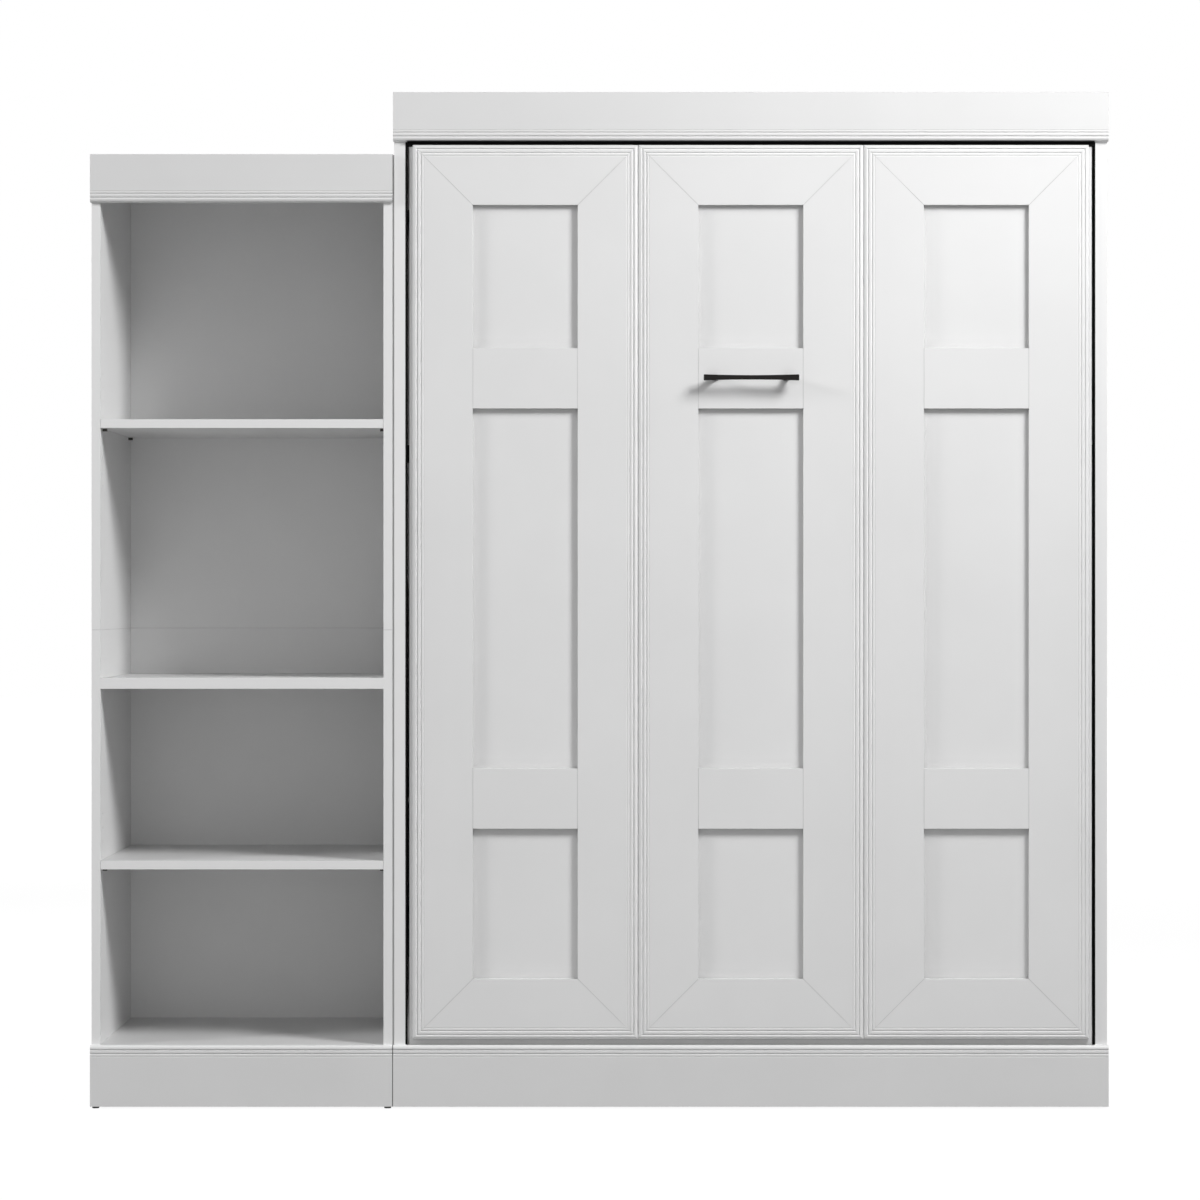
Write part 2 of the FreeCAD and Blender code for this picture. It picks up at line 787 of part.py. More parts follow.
def gas_cylinder_right():
    half_eye = gas_eye_width / 2
    gland = gas_gland_start()
    tube = gas_round(gas_neck_length, gland + gas_gland_length, gas_tube_radius)
    neck = gas_round(0, gas_neck_length, gas_neck_radius)
    eye = round_x(at_bed(gas_middle - half_eye), at_bed(gas_middle + half_eye), anchor_y, anchor_z,
                  gas_eye_radius)
    body = joined([tube, neck, eye])
    body = body.cut(gas_round(gas_bore_start(), gland, gas_bore_radius))
    body = body.cut(gas_round(gland, gland + gas_gland_length, gas_rod_radius + running_clearance))
    pin_hole = round_x(at_bed(gas_middle - gas_inset), at_bed(opening_half), anchor_y, anchor_z,
                       gas_rod_radius + running_clearance)
    return body.cut(pin_hole)


def gas_rod_right():
    # Rod with its piston inside the tube and its cup beside the stud.
    length = open_reach.Length - gas_bore_start() - gas_end_play
    start = shut_reach.Length - length
    half_eye = gas_eye_width / 2
    rod = gas_round(start, shut_reach.Length, gas_rod_radius)
    piston = gas_round(start, start + gas_piston_length, gas_bore_radius - running_clearance)
    cup = round_x(at_bed(gas_middle - half_eye), at_bed(gas_middle + half_eye), stud_y, stud_z, gas_cup_radius)
    return joined([rod, piston, cup])


# Bed cabinet
cabinet_dowels = bed_cabinet_dowels()
shelf_dowels = bookcase_dowels()
bolts = connector_bolts()
right_screws = cabinet_screws_right()
cabinet_screws = both_sides(right_screws)
hinge_pins = both_sides([hinge_pin_right()])
side_drilling = cabinet_dowels + bolts + cabinet_screws + hinge_pins
inner_left = at_bed(-opening_half)
inner_right = at_bed(opening_half)
crown_left = bed_left - board_overhang
crown_right = bed_left + bed_outer_width + board_overhang
back_board_front = carcass_back - board_thickness

save("cabinet_side_left", cabinet_side(False, side_drilling))
save("cabinet_side_right", cabinet_side(True, side_drilling))
top_panel = block(inner_left, inner_right, carcass_front, carcass_back, top_panel_bottom, bed_top)
save("cabinet_top_panel", cut_all(top_panel, cabinet_dowels))
save("cabinet_crown_board", crown_board(crown_left, crown_right, bed_top, crown_height))
save("cabinet_kick_board", kick_board(crown_left, crown_right))
save("upper_wall_rail", wall_rail(cabinet_dowels))
headboard = block(inner_left, inner_right, back_board_front, carcass_back, headboard_bottom, headboard_top)
save("headboard_panel", cut_all(headboard, cabinet_dowels))
stretcher_top = glide_height + stretcher_height
stretchers = []
for stretcher_front in (carcass_front, back_board_front):
    stretcher = block(inner_left, inner_right, stretcher_front, stretcher_front + board_thickness,
                      glide_height, stretcher_top)
    stretchers.append(cut_all(stretcher, cabinet_dowels))
save("floor_stretchers", stretchers)
right_plate = hinge_plate(right_screws + hinge_pins)
save("hinge_plate_right", right_plate)
save("hinge_plate_left", mirrored(right_plate))
save("hinge_pins", hinge_pins)
save("gas_spring_brackets", both_sides([gas_bracket_right(right_screws)]))
save("cabinet_screws", cabinet_screws)
save("bump_stops", both_sides([bump_stop_right()]))
save("levelling_glides", glides())
save("connector_bolts", bolts)

# Bookcase
bookcase_crown_left = bookcase_left - board_overhang
bookcase_crown_right = bookcase_right + board_overhang
side_holes = shelf_dowels + bolts
for half_name, is_upper in (("upper", True), ("lower", False)):
    left_side = bookcase_side(bookcase_left, shelf_left, is_upper, side_holes)
    right_side = bookcase_side(bookcase_right, shelf_right, is_upper, side_holes)
    save("bookcase_side_left_" + half_name, left_side)
    save("bookcase_side_right_" + half_name, right_side)
    save("bookcase_back_" + half_name, bookcase_back(is_upper))
save("bookcase_top_panel", bookcase_board(bookcase_top, shelf_thickness, shelf_dowels))
save("bookcase_bottom_panel", bookcase_board(kick_top, shelf_thickness, shelf_dowels))
save("fixed_shelf", bookcase_board(fixed_shelf_top, fixed_shelf_thickness, shelf_dowels))
save("upper_shelf", adjustable_shelf(upper_shelf_top))
save("lower_shelf", adjustable_shelf(lower_shelf_top))
save("shelf_pins", shelf_pins())
save("bookcase_crown_board", crown_board(bookcase_crown_left, bookcase_crown_right, bookcase_top,
                                         bookcase_crown_height))
save("bookcase_kick_board", kick_board(bookcase_crown_left, bookcase_crown_right))
save("dowels", cabinet_dowels + shelf_dowels)

# Doors
front_screws = handle_screws()
front_panel = block(at_bed(-panel_half), at_bed(panel_half), panel_front, panel_back, panel_bottom, panel_top)
save("front_panel", cut_all(front_panel, front_screws))
for number, door_name in enumerate(("left", "middle", "right")):
    door_left, door_right = door_edges(number)
    left_stile = stile(door_left, door_left + stile_width, True, frame_bottom, frame_top)
    right_stile = stile(door_right - stile_width, door_right, False, frame_bottom, frame_top)
    save("door_" + door_name + "_stiles", [left_stile, right_stile])
    top_rail = end_rail(door_left, door_right, frame_top, -1)
    bottom_rail = end_rail(door_left, door_right, frame_bottom, 1)
    save("door_" + door_name + "_end_rails", [top_rail, bottom_rail])
    mid_rails = [mid_rail(door_left, door_right, z) for z in (upper_mid_rail, lower_mid_rail)]
    save("door_" + door_name + "_mid_rails", [cut_all(rail, front_screws) for rail in mid_rails])
save("handle", handle(front_screws))
save("handle_screws", front_screws)

# Bed
bed_screws_one_side = bed_screws_right()
leg_pin = leg_pin_right()
right_rail = side_rail_right(bed_screws_one_side + [leg_pin])
right_bracket = hinge_bracket_right(bed_screws_one_side)
save("side_rail_right", right_rail)
save("side_rail_left", mirrored(right_rail))
save("head_rail", cross_rail(frame_bottom))
save("foot_rail", cross_rail(rail_top - rail_thickness))
save("centre_beam", centre_beam())
save("slats", slats())
save("hinge_bracket_right", right_bracket)
save("hinge_bracket_left", mirrored(right_bracket))
save("bed_screws", both_sides(bed_screws_one_side))
save("mattress", mattress())
save("leg_pivot_pins", both_sides([leg_pin]))

# Leg frame and gas springs
save("leg_arms", both_sides([leg_arm_right()]))
save("leg_crossbar", crossbar())
save("leg_feet", both_sides([rubber_foot_right()]))
save("gas_cylinders", both_sides([gas_cylinder_right()]))
save("gas_rods", both_sides([gas_rod_right()]))

swing = open_angle - shut_angle
print("hinge axis y, z:", hinge_setback + frame_shift, hinge_height)
print("leg pivot y, z:", leg_pivot_setback + frame_shift, leg_pivot_height)
print("gas spring anchor y, z:", anchor_y + frame_shift, anchor_z)
print("gas spring direction, shut:", shut_reach / shut_reach.Length)
print("gas spring stroke, swing in degrees:", gas_stroke, math.degrees(swing))
print("swing and stroke per radian of the bed:", swing / (math.pi / 2), gas_stroke / (math.pi / 2))
print("bed middle x, frame shift:", bed_middle, frame_shift)
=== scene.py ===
import math

import bmesh
import bpy
from mathutils import Matrix, Vector


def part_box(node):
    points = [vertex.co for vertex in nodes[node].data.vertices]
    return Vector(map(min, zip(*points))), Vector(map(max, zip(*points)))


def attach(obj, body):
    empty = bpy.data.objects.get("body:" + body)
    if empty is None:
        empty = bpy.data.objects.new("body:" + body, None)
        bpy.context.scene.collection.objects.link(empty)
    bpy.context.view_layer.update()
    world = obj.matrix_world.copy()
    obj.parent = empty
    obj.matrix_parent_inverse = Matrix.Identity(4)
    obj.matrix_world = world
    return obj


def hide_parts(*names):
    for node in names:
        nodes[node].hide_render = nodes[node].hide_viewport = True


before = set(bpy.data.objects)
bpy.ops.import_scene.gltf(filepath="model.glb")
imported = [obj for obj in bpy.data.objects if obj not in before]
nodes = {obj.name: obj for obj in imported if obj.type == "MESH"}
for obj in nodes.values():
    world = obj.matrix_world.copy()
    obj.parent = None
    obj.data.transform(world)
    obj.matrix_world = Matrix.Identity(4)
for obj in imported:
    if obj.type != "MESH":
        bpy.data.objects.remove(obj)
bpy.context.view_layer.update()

# White boards of the two cabinets: particle board faced with white satin melamine, cut to size and
# edge banded. Each board is joined to the next on beech dowels and glued.
# The facing has a fine pearl, and its edge bands are rounded by half a millimetre and dull a little.


def new_material(name, colour, roughness):
    material = bpy.data.materials.new(name)
    material.use_nodes = True
    shader = material.node_tree.nodes["Principled BSDF"]
    shader.inputs["Base Color"].default_value = (*colour, 1)
    shader.inputs["Roughness"].default_value = roughness
    return material, shader


def add(material, kind, settings=None, **inputs):
    made = material.node_tree.nodes.new("ShaderNode" + kind)
    for name, value in (settings or {}).items():
        setattr(made, name, value)
    for name, value in inputs.items():
        feed(material, made.inputs[name.replace("_", " ")], value)
    return made


def feed(material, socket, value):
    if isinstance(value, bpy.types.NodeSocket):
        material.node_tree.links.new(value, socket)
    else:
        socket.default_value = value


def calc(material, operation, first, second=0.5, third=0.5):
    made = material.node_tree.nodes.new("ShaderNodeMath")
    made.operation = operation
    for socket, value in zip(made.inputs, (first, second, third)):
        feed(material, socket, value)
    return made.outputs[0]


def noise(material, place, scale, detail=2.0, roughness=0.5, distortion=0.0):
    made = add(material, "TexNoise", Vector=place, Scale=scale, Detail=detail, Roughness=roughness,
               Distortion=distortion)
    return made.outputs["Fac"]


def spread(material, value, low, high, to_low=0.0, to_high=1.0):
    made = add(material, "MapRange", Value=value)
    for name, number in (("From Min", low), ("From Max", high),
                         ("To Min", to_low), ("To Max", to_high)):
        made.inputs[name].default_value = number
    return made.outputs[0]


def blend_colours(material, factor, first, second):
    made = add(material, "Mix", {"data_type": "RGBA"})
    feed(material, made.inputs["Factor"], factor)
    for name, value in (("A", first), ("B", second)):
        socket = [s for s in made.inputs if s.name == name and s.type == "RGBA"][0]
        feed(material, socket, value if isinstance(value, bpy.types.NodeSocket) else (*value, 1))
    return [s for s in made.outputs if s.type == "RGBA"][0]


def object_place(material, stretch=(1, 1, 1)):
    place = add(material, "TexCoord").outputs["Object"]
    mapping = add(material, "Mapping", Vector=place)
    mapping.inputs["Scale"].default_value = stretch
    return mapping.outputs[0]


def object_axes(material):
    place = add(material, "TexCoord").outputs["Object"]
    return add(material, "SeparateXYZ", Vector=place).outputs


def facing(material, axis):
    normal = add(material, "NewGeometry").outputs["Normal"]
    return add(material, "SeparateXYZ", Vector=normal).outputs[axis]


def rounded_edge(material, radius):
    return add(material, "Bevel", {"samples": 4}, Radius=radius).outputs[0]


def edge_share(material, rounded):
    # One on an edge and nothing on a flat face, from how far the rounded normal leans.
    straight = add(material, "NewGeometry").outputs["Normal"]
    lean = add(material, "VectorMath", {"operation": "DOT_PRODUCT"})
    feed(material, lean.inputs[0], rounded)
    feed(material, lean.inputs[1], straight)
    return spread(material, lean.outputs["Value"], 0.995, 0.85)


def bump(material, height, distance, normal=None, strength=1.0):
    made = add(material, "Bump", Height=height, Distance=distance, Strength=strength)
    if normal is not None:
        feed(material, made.inputs["Normal"], normal)
    return made.outputs[0]


def board_finish(name, colour, roughness, pearl, waviness, lit_front_colour=None):
    material, shader = new_material(name, colour, roughness)
    place = object_place(material)
    cloud = noise(material, place, 3.1, 3.0)
    speck = noise(material, place, 210.0, 3.0, 0.6)
    rounded = rounded_edge(material, 0.0007)
    edge = edge_share(material, rounded)
    dusk = tuple(c * 0.972 for c in colour)
    clean = blend_colours(material, spread(material, cloud, 0.35, 0.65), colour, dusk)
    handled = calc(material, "MULTIPLY", edge, spread(material, speck, 0.35, 0.7, 0.15, 0.75))
    worn_tone = tuple(c * f for c, f in zip(colour, (0.93, 0.92, 0.90)))
    worn = blend_colours(material, handled, clean, worn_tone)
    if lit_front_colour:
        # Faces turned to the front are painted a lighter white, as painted light.
        lit_front_share = spread(material, facing(material, "Y"), -0.8, -0.95)
        worn = blend_colours(material, lit_front_share, worn, lit_front_colour)
    feed(material, shader.inputs["Base Color"], worn)
    feed(material, shader.inputs["Roughness"],
         spread(material, speck, 0.3, 0.7, roughness - 0.04, roughness + 0.05))
    long_wave = bump(material, noise(material, place, 9.0, 1.0), waviness, rounded)
    fine = bump(material, noise(material, place, 900.0, 2.0), pearl, long_wave)
    feed(material, shader.inputs["Normal"], fine)
    return material


def paint_over(material, share, colour):
    # Covers a share of the paint that the material already has.
    base = material.node_tree.nodes["Principled BSDF"].inputs["Base Color"]
    feed(material, base, blend_colours(material, share, base.links[0].from_socket, colour))


def line_at(material, along, middle, half_width, easing, share=1.0):
    # A straight line round the piece, where one of its axes passes the middle.
    apart = calc(material, "ABSOLUTE", calc(material, "SUBTRACT", along, middle))
    return spread(material, apart, half_width * (1 - easing), half_width * (1 + easing), share, 0.0)


def dress(material, names):
    for name in names:
        slots = nodes[name].data.materials
        slots.clear()
        slots.append(material)


back_white = (0.885, 0.885, 0.885)
# The darker white below is the same board's white, made darker as painted shade on the cabinet sides, the
# bookcase's sides, top and shelves.
shaded_board_white = (0.775, 0.775, 0.775)
# The lighter white below is painted light on the faces turned to the front.
lit_front_white = (0.92, 0.92, 0.92)
melamine = {"roughness": 0.44, "pearl": 0.00002, "waviness": 0.0004}
plain_finish = board_finish("white_melamine", back_white, **melamine)
dress(plain_finish, ["cabinet_top_panel", "upper_wall_rail", "headboard_panel", "floor_stretchers"])
lit_front_finish = board_finish("white_melamine_lit_front", shaded_board_white, lit_front_colour=lit_front_white, **melamine)
dress(lit_front_finish, ["cabinet_side_left", "cabinet_side_right", "bookcase_top_panel"])

# The bookcase's sides and back, of the same board: they come in an upper and a lower part, joined on
# dowels at one height, and the joint shows as a hairline all round.
joint_half = 0.001
joint_shade = (0.45, 0.45, 0.45)


def joined_finish(name, colour, upper_part, joint_share, lit_front_colour=None):
    material = board_finish(name, colour, lit_front_colour=lit_front_colour, **melamine)
    joint = nodes[upper_part].matrix_world.inverted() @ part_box(upper_part)[0]
    line = line_at(material, object_axes(material)["Z"], joint.z, joint_half, 0.3, joint_share)
    paint_over(material, line, joint_shade)
    return material


dress(joined_finish("white_melamine_back", back_white, "bookcase_back_upper", 0.5),
      ["bookcase_back_upper", "bookcase_back_lower"])
dress(joined_finish("white_melamine_side", shaded_board_white, "bookcase_side_left_upper", 0.28, lit_front_white),
      ["bookcase_side_left_upper", "bookcase_side_left_lower", "bookcase_side_right_upper",
       "bookcase_side_right_lower"])

# Shelves and the bookcase's bottom: the same board, whose upward faces are painted darker, as painted
# shade.
# The middle shelf is fixed to the sides; the two others rest on pins.
shaded_top_white = (0.67, 0.67, 0.67)
shelf_finish = board_finish("white_melamine_shelf", shaded_board_white, lit_front_colour=lit_front_white, **melamine)
paint_over(shelf_finish, spread(shelf_finish, facing(shelf_finish, "Z"), 0.8, 0.95), shaded_top_white)
dress(shelf_finish, ["bookcase_bottom_panel", "fixed_shelf", "upper_shelf", "lower_shelf"])

# Crown boards, kick boards and door frames: fibreboard with a milled moulding, sprayed white.
# The frames are mitred at the corners, the middle rails butt against the stiles, and each joint
# shows as a hairline that the paint has not filled.
door_white = (0.885, 0.885, 0.885)
# The crown and kick boards take a darker copy of the same white paint, as painted shade.
shaded_trim_white = (0.83, 0.83, 0.83)
lacquer = {"roughness": 0.38, "pearl": 0.000012, "waviness": 0.0003}
# Grey, reach and share of the painted shade that greys the corners.
corner_shade_grey = (0.13, 0.13, 0.13)
corner_shade_reach = 0.025
corner_shade_share = 0.5
seam_half = 0.001
seam_aside = 0.0006
seam_middle = (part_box("bookcase_kick_board")[1].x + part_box("cabinet_kick_board")[0].x) / 2 - seam_aside


def shade_corners(material, where=1.0):
    # The paint is greyed in the corners, within reach of the next face, as painted shade.
    open_share = add(material, "AmbientOcclusion", {"samples": 8}, Distance=corner_shade_reach).outputs["AO"]
    shaded_share = calc(material, "MULTIPLY", calc(material, "SUBTRACT", 1.0, open_share), corner_shade_share)
    paint_over(material, calc(material, "MULTIPLY", shaded_share, where), corner_shade_grey)


def trim_finish(name, node_name, seam_shade):
    # Crown and kick boards: where the two cabinets meet, a dark seam shows.
    material = board_finish(name, shaded_trim_white, **lacquer)
    middle = nodes[node_name].matrix_world.inverted() @ Vector((seam_middle, 0, 0))
    seam = line_at(material, object_axes(material)["X"], middle.x, seam_half, 0.2)
    paint_over(material, seam, tuple(c * seam_shade for c in shaded_trim_white))
    return material


dress(board_finish("white_lacquer", shaded_trim_white, **lacquer), ["cabinet_crown_board"])
for board, seam_shade in (("cabinet_kick_board", 0.15), ("bookcase_kick_board", 0.15),
                          ("bookcase_crown_board", 0.5)):
    dress(trim_finish("white_lacquer_" + board, board, seam_shade), [board])
frames_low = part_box("door_left_stiles")[0]
frames_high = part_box("door_right_stiles")[1]
doors = ("left", "middle", "right")
stile_width = 0.138
hairline = 0.001
hairline_tone = 0.75
moulding_groove = 0.018
moulding_width = 0.05


def frame_finish(name, node_name, butted):
    # The same paint with its joints: distances are measured from the door's nearest edges.
    material = board_finish(name, door_white, **lacquer)
    to_node = nodes[node_name].matrix_world.inverted()
    low, high = to_node @ frames_low, to_node @ frames_high
    half_door = (high.x - low.x) / len(doors) / 2
    axes = object_axes(material)
    across = calc(material, "PINGPONG", calc(material, "SUBTRACT", axes["X"], low.x), half_door)
    if butted:
        apart = calc(material, "SUBTRACT", across, stile_width)
        # The butted rails' corners are greyed as painted shade.
        shade_corners(material)
    else:
        half_height = (high.z - low.z) / 2
        up = calc(material, "PINGPONG", calc(material, "SUBTRACT", axes["Z"], low.z), half_height)
        apart = calc(material, "ABSOLUTE", calc(material, "SUBTRACT", across, up))
        # No painted shade goes on the moulding of the outer edge, which ends 40 to 60 mm in.
        shade_corners(material, spread(material, calc(material, "MINIMUM", across, up), 0.04, 0.06))
    line = spread(material, apart, hairline * 0.6, hairline * 1.4, 1.0, 0.0)
    inside = spread(material, across, moulding_groove, moulding_width, 0.15, 1.0)
    drawn = calc(material, "MULTIPLY", line, inside)
    paint_over(material, drawn, tuple(c * hairline_tone for c in door_white))
    return material


for side in doors:
    door = "door_" + side
    mitred_frame = frame_finish("white_lacquer_" + side, door + "_stiles", False)
    dress(mitred_frame, [door + "_stiles", door + "_end_rails"])
    butted_rails = frame_finish("white_lacquer_rail_" + side, door + "_mid_rails", True)
    dress(butted_rails, [door + "_mid_rails"])

# Front panel: one large white board, the underside of the bed, with the door frames fixed to its face.
# Its foot shows below the frames as a strip, which is greyed more, as painted shade.
foot_height = 0.006
foot_shade = 1.9
panel_finish = board_finish("white_panel", door_white, 0.41, 0.000018, 0.0005)
frames_foot = (nodes["front_panel"].matrix_world.inverted() @ frames_low).z
shade_corners(panel_finish, spread(panel_finish, object_axes(panel_finish)["Z"],
                                  frames_foot + foot_height, frames_foot, 1.0, foot_shade))
dress(panel_finish, ["front_panel"])

# Beech rails, slats, beam and dowels of the bed: planed and sanded, with straight grain that runs
# along each piece and short dark flecks. The rails are screwed together and carry the slats.


def beech(name, along):
    material, shader = new_material(name, (0.74, 0.59, 0.42), 0.5)
    grain_place = object_place(material, [1.6 if axis == along else 55.0 for axis in range(3)])
    fleck_place = object_place(material, [60.0 if axis == along else 420.0 for axis in range(3)])
    grain = noise(material, grain_place, 1.0, 5.0, 0.62, 0.4)
    pores = noise(material, fleck_place, 1.0, 2.0, 0.55)
    tone = blend_colours(material, spread(material, grain, 0.3, 0.72),
                         (0.80, 0.66, 0.49), (0.66, 0.49, 0.32))
    dark = spread(material, pores, 0.62, 0.72, 0.0, 0.45)
    flecked = blend_colours(material, dark, tone, (0.42, 0.27, 0.15))
    rounded = rounded_edge(material, 0.0015)
    feed(material, shader.inputs["Base Color"], flecked)
    feed(material, shader.inputs["Roughness"], spread(material, grain, 0.3, 0.7, 0.44, 0.58))
    relief = bump(material, grain, 0.0002, rounded)
    feed(material, shader.inputs["Normal"], bump(material, pores, 0.00008, relief))
    return material


beech_across = beech("beech_across", 0)
beech_upright = beech("beech_upright", 2)
dress(beech_across, ["slats", "head_rail", "foot_rail", "dowels"])
dress(beech_upright, ["side_rail_left", "side_rail_right", "centre_beam"])

# Bar handle: cast metal in a near-black bronze finish, rubbed a little brighter on its edges.
# It is waisted in the middle and stands on two posts that lean in.
bronze, bronze_shader = new_material("dark_bronze", (0.009, 0.008, 0.0075), 0.5)
bronze_shader.inputs["Specular IOR Level"].default_value = 0.15
bronze_place = object_place(bronze)
bronze_edge = rounded_edge(bronze, 0.0012)
rubbed = calc(bronze, "MULTIPLY", edge_share(bronze, bronze_edge), spread(
    bronze, noise(bronze, bronze_place, 160.0, 4.0, 0.6), 0.4, 0.65, 0.0, 0.6))
bronze_tone = blend_colours(bronze, spread(bronze, noise(bronze, bronze_place, 45.0, 3.0), 0.35, 0.65),
                            (0.008, 0.0075, 0.007), (0.013, 0.011, 0.010))
feed(bronze, bronze_shader.inputs["Base Color"],
     blend_colours(bronze, rubbed, bronze_tone, (0.09, 0.06, 0.04)))
feed(bronze, bronze_shader.inputs["Roughness"], spread(
    bronze, noise(bronze, bronze_place, 300.0, 3.0), 0.3, 0.7, 0.36, 0.5))
feed(bronze, bronze_shader.inputs["Normal"], bump(
    bronze, noise(bronze, bronze_place, 700.0, 2.0), 0.00003, bronze_edge))
dress(bronze, ["handle"])

# Hinge plates, hinge brackets, gas spring tubes and leg frame: cut, bent and welded steel with a
# black powder coat, faintly grained and rubbed a little on its edges.
powder, powder_shader = new_material("black_powder_coat", (0.022, 0.022, 0.023), 0.5)
powder_place = object_place(powder)
powder_edge = rounded_edge(powder, 0.0006)
powder_grain = noise(powder, powder_place, 1300.0, 2.0, 0.6)
powder_cloud = noise(powder, powder_place, 30.0, 3.0)
powder_rub = calc(powder, "MULTIPLY", edge_share(powder, powder_edge),
                  spread(powder, powder_cloud, 0.4, 0.6, 0.0, 0.5))
powder_tone = blend_colours(powder, powder_grain, (0.017, 0.017, 0.018), (0.032, 0.032, 0.034))
feed(powder, powder_shader.inputs["Base Color"],
     blend_colours(powder, powder_rub, powder_tone, (0.11, 0.11, 0.11)))
feed(powder, powder_shader.inputs["Roughness"], spread(powder, powder_cloud, 0.3, 0.7, 0.44, 0.6))
feed(powder, powder_shader.inputs["Normal"], bump(powder, powder_grain, 0.00008, powder_edge))
dress(powder, ["hinge_plate_left", "hinge_plate_right", "hinge_bracket_left", "hinge_bracket_right",
               "gas_spring_brackets", "gas_cylinders", "leg_arms", "leg_crossbar"])

# Hinge pins, gas spring rods, bolts and screws: turned or headed steel with a zinc plating, which
# keeps a faint spangle.
zinc, zinc_shader = new_material("zinc_plate", (0.62, 0.62, 0.63), 0.32)
zinc_shader.inputs["Metallic"].default_value = 1.0
zinc_place = object_place(zinc)
zinc_spangle = add(zinc, "TexVoronoi", Vector=zinc_place, Scale=350.0).outputs["Color"]
zinc_cloud = noise(zinc, zinc_place, 60.0, 3.0)
zinc_tone = blend_colours(zinc, zinc_cloud, (0.66, 0.66, 0.66), (0.58, 0.585, 0.60))
feed(zinc, zinc_shader.inputs["Base Color"], blend_colours(zinc, 0.06, zinc_tone, zinc_spangle))
feed(zinc, zinc_shader.inputs["Roughness"], spread(zinc, zinc_cloud, 0.3, 0.7, 0.24, 0.4))
feed(zinc, zinc_shader.inputs["Normal"], bump(
    zinc, noise(zinc, zinc_place, 900.0, 2.0), 0.00002, rounded_edge(zinc, 0.0003)))
dress(zinc, ["hinge_pins", "cabinet_screws", "bed_screws", "connector_bolts", "handle_screws",
             "leg_pivot_pins", "gas_rods"])

# Shelf pins: dark cast spades with a bronze finish. They push into the rows of holes in the
# bookcase's sides, and the two loose shelves rest on them.
pin_metal, pin_shader = new_material("shelf_pin_bronze", (0.05, 0.045, 0.04), 0.4)
pin_place = object_place(pin_metal)
pin_tone = blend_colours(pin_metal, noise(pin_metal, pin_place, 250.0, 3.0),
                         (0.035, 0.032, 0.03), (0.07, 0.062, 0.055))
feed(pin_metal, pin_shader.inputs["Base Color"], pin_tone)
feed(pin_metal, pin_shader.inputs["Normal"], bump(
    pin_metal, noise(pin_metal, pin_place, 1200.0, 2.0), 0.00002, rounded_edge(pin_metal, 0.0008)))
dress(pin_metal, ["shelf_pins"])

# Leg feet and bump stops: black rubber. Levelling glides: black moulded plastic.
# Both are matt; the rubber carries a light bloom.


def soft_black(name, colour, bloom, roughness, grain):
    material, shader = new_material(name, colour, roughness)
    place = object_place(material)
    cloud = noise(material, place, 80.0, 4.0, 0.6)
    feed(material, shader.inputs["Base Color"],
         blend_colours(material, spread(material, cloud, 0.4, 0.7), colour, bloom))
    feed(material, shader.inputs["Roughness"],
         spread(material, cloud, 0.3, 0.7, roughness - 0.06, roughness + 0.06))
    feed(material, shader.inputs["Normal"], bump(
        material, noise(material, place, grain, 2.0), 0.00006, rounded_edge(material, 0.001)))
    return material


dress(soft_black("black_rubber", (0.022, 0.022, 0.022), (0.04, 0.04, 0.038), 0.82, 900.0),
      ["leg_feet", "bump_stops"])
dress(soft_black("black_plastic", (0.02, 0.02, 0.021), (0.028, 0.028, 0.03), 0.5, 1400.0),
      ["levelling_glides"])

# Black felt that puts a dark sheet in the gaps round the shut bed, as painted shade where the gaps lie in
# shadow: a tape lines each cabinet side just inside its front edge and wraps a little way round it,
# darkening its arris, and two strips line the crown board, behind and below.
gap_shade_felt, gap_shade_felt_shader = new_material("black_felt_gap_shade", (0.006, 0.006, 0.006), 0.95)
gap_shade_felt_shader.inputs["Specular IOR Level"].default_value = 0.1
gap_shade_felt_place = object_place(gap_shade_felt)
gap_shade_felt_fibre = noise(gap_shade_felt, gap_shade_felt_place, 700.0, 4.0, 0.7)
feed(gap_shade_felt, gap_shade_felt_shader.inputs["Base Color"],
     blend_colours(gap_shade_felt, gap_shade_felt_fibre, (0.004, 0.004, 0.004), (0.012, 0.012, 0.012)))
feed(gap_shade_felt, gap_shade_felt_shader.inputs["Normal"], bump(gap_shade_felt, gap_shade_felt_fibre, 0.0003))
side_low, side_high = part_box("cabinet_side_left")
far_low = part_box("cabinet_side_right")[0]
panel_low, panel_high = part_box("front_panel")
crown_low, crown_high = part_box("cabinet_crown_board")
kick_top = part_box("cabinet_kick_board")[1].z
tape_thickness = 0.001
tape_depth = 0.03
tape_set_back = 0.0005
tape_easing = 0.0002
wrap_left = 0.0022
wrap_right = 0.001
wrap_front = 0.0004
wrap_back = 0.0006
wrap_room = 0.001
wrap_easing = 0.0001
strip_room = 0.002
strip_thickness = 0.004
strip_rise = 0.03
strip_easing = 0.0004
above_panel = 0.0012
lining_set_back = 0.0008
lining_thickness = 0.0006
lining_easing = 0.0001


def place_in_scene(name, data):
    made = bpy.data.objects.new(name, data)
    bpy.context.scene.collection.objects.link(made)
    return made


def show(name, mesh, material, body):
    # A finished mesh becomes a piece at the origin that rides on its body.
    data = bpy.data.meshes.new(name)
    mesh.to_mesh(data)
    mesh.free()
    data.materials.append(material)
    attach(place_in_scene(name, data), body)


def strip(mesh, low, high, soft):
    # A straight strip between two corners, with its edges eased.
    made = bmesh.ops.create_cube(mesh, size=1.0)["verts"]
    bmesh.ops.scale(mesh, verts=made, vec=Vector(high) - Vector(low))
    bmesh.ops.translate(mesh, verts=made, vec=(Vector(high) + Vector(low)) / 2)
    edges = list({edge for point in made for edge in point.link_edges})
    bmesh.ops.bevel(mesh, geom=edges, offset=soft, affect="EDGES", segments=2, profile=0.5, material=-1)


